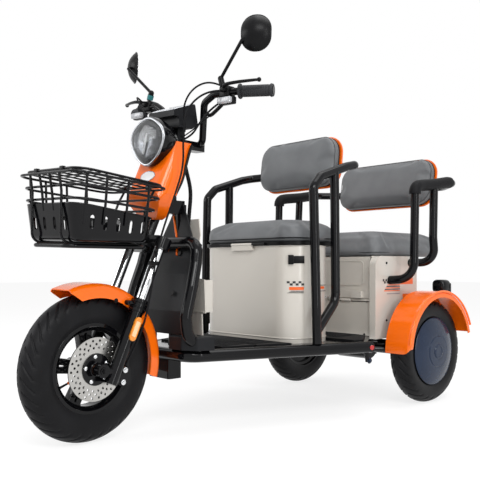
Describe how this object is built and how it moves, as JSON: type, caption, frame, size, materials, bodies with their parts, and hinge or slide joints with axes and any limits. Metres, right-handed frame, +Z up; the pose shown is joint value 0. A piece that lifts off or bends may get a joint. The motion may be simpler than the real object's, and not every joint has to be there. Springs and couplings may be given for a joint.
{
  "type": "electric tricycle",
  "caption": "Three-wheeled electric tricycle with a driver seat, a rear bench over a storage cabinet, a step-through floor and a lidded wire basket.",
  "frame": {"origin": "middle of the bounding box at ground level, under the floor between the seats", "axes": "+X forward towards the steered wheel, +Y to the left, +Z up"},
  "size_m": [1.6761, 0.77, 1.227],
  "materials": {
    "black_paint": "gloss black paint",
    "orange_gloss": "gloss orange",
    "beige_gloss": "gloss light beige",
    "dark_plastic": "satin dark grey",
    "black_plastic": "satin black",
    "black_rubber": "matt black rubber",
    "tyre_rubber": "black tyre rubber",
    "grey_leather": "mid grey leatherette",
    "bright_tube": "polished chrome",
    "disc_steel": "brushed steel",
    "slate_cover": "slate blue gloss",
    "lamp_shell": "gloss black with bright bezel",
    "lamp_glass": "clear lens",
    "amber_lens": "amber",
    "clear_lens": "clear lens in black shell",
    "red_lens": "red"
  },
  "bodies": {
    "chassis": {"floor_frame": "black_paint", "leg_guard": "black_paint", "head_tube": "black_paint", "front_seat_frame": "black_paint", "rear_seat_frame": "black_paint", "armrest_grips": "black_rubber", "under_floor_box": "black_paint", "corner_caps": "dark_plastic", "floor_mat": "black_rubber", "leg_shield": "dark_plastic", "inner_panel": "beige_gloss", "front_seat_box": "beige_gloss", "rear_cabinet": "beige_gloss", "battery": "black_plastic", "front_backrest_pad": "grey_leather", "rear_backrest_pad": "grey_leather", "backrest_shells": "orange_gloss", "rear_seat_cushion": "grey_leather", "rear_fenders": "orange_gloss", "tail_lights": "black_plastic", "red_lenses": "red_lens", "rear_axle": "black_paint", "rear_shocks": "black_paint"},
    "front_lid": {"front_seat_lid": "black_plastic", "front_seat_cushion": "grey_leather"},
    "door": {"cabinet_door": "beige_gloss"},
    "steering": {"fork": "black_paint", "fork_yoke": "black_paint", "fork_stanchions": "bright_tube", "front_fender": "orange_gloss", "amber_reflectors": "amber_lens", "brake_caliper": "black_paint", "basket": "black_paint", "head_panel": "orange_gloss", "headlight": "lamp_shell", "headlight_lens": "lamp_glass", "dash_housing": "dark_plastic", "handlebar": "black_paint", "grips": "black_rubber", "hand_controls": "black_plastic", "indicators": "clear_lens", "mirrors": "black_plastic", "brake_hose": "black_rubber"},
    "lid_of_basket": {"basket_lid": "black_paint"},
    "front_wheel": {"front_tyre": "tyre_rubber", "front_rim": "black_paint", "front_brake_disc": "disc_steel"},
    "rear_wheel_left": {"rear_tyre_left": "tyre_rubber", "rear_hub_left": "slate_cover"},
    "rear_wheel_right": {"rear_tyre_right": "tyre_rubber", "rear_hub_right": "slate_cover"}
  },
  "joints": [
    {"name": "steering", "type": "hinge", "parent": "chassis", "child": "steering", "pos_m": [0.58176, 0, 0.209], "axis": [-0.4051, 0, 0.9143], "range_deg": [-40, 30]},
    {"name": "front_wheel_spin", "type": "hinge", "parent": "steering", "child": "front_wheel", "pos_m": [0.62963, 0.00382, 0.20889], "axis": [-0.0797, 0.9962, -0.0353], "continuous": true},
    {"name": "rear_left_spin", "type": "hinge", "parent": "chassis", "child": "rear_wheel_left", "pos_m": [-0.59024, 0.314, 0.1865], "axis": [0, 1, 0], "continuous": true},
    {"name": "rear_right_spin", "type": "hinge", "parent": "chassis", "child": "rear_wheel_right", "pos_m": [-0.59024, -0.314, 0.1865], "axis": [0, 1, 0], "continuous": true},
    {"name": "front_seat_lid", "type": "hinge", "parent": "chassis", "child": "front_lid", "pos_m": [0.03476, 0, 0.566], "axis": [0, 1, 0], "range_deg": [0, 85]},
    {"name": "cabinet_door", "type": "hinge", "parent": "chassis", "child": "door", "pos_m": [-0.38674, 0, 0.37], "axis": [0, 1, 0], "range_deg": [0, 90]},
    {"name": "basket_lid", "type": "hinge", "parent": "steering", "child": "lid_of_basket", "pos_m": [0.46742, 0.00903, 0.7218], "axis": [0.0797, -0.9962, 0.0353], "range_deg": [0, 80]}
  ]
}
